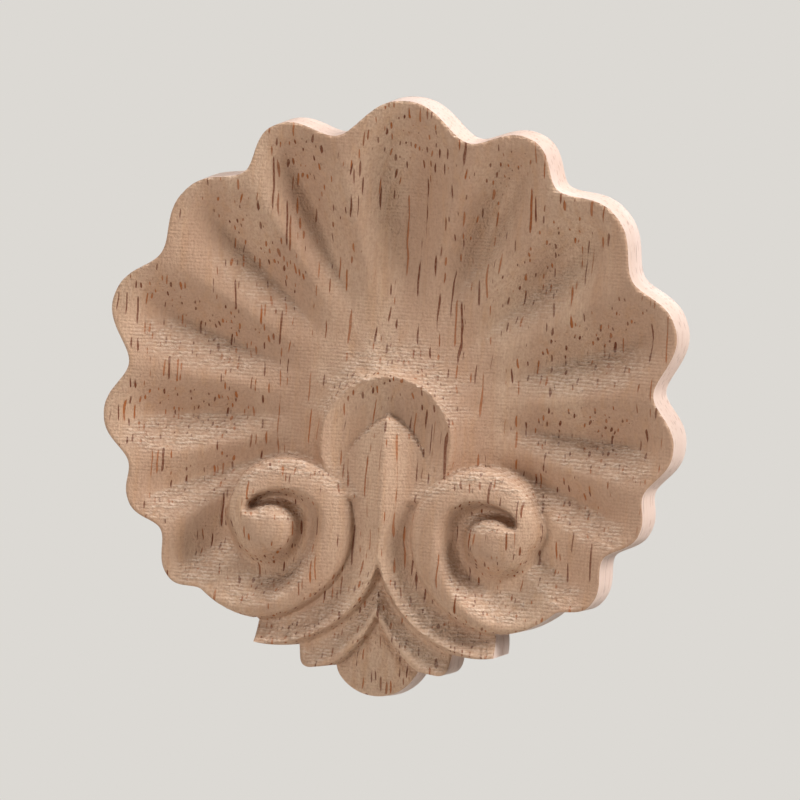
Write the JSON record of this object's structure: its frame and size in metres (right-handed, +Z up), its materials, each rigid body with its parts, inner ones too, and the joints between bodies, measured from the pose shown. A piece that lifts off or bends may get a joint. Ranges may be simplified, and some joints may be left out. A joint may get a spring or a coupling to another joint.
{
  "type": "carved wood applique",
  "caption": "Flat-backed carved wood ornament for furniture: a fluted shell above two scrolls, with a ridged leaf between them and short strips and a tongue fanning out below.",
  "frame": {"origin": "on the flat back, on the middle line, 42.1 mm above the tongue's lowest point", "axes": "+Z up towards the shell's top, +Y out of the flat back into what it is glued to, so the carving faces -Y, +X to the right as seen from the front"},
  "size_m": [0.0812, 0.0129, 0.0841],
  "materials": {
    "carved_wood": "raw machine-carved hardwood, sanded on the back, no stain or varnish"
  },
  "bodies": {
    "root": {"carved_applique": "carved_wood"}
  },
  "joints": []
}
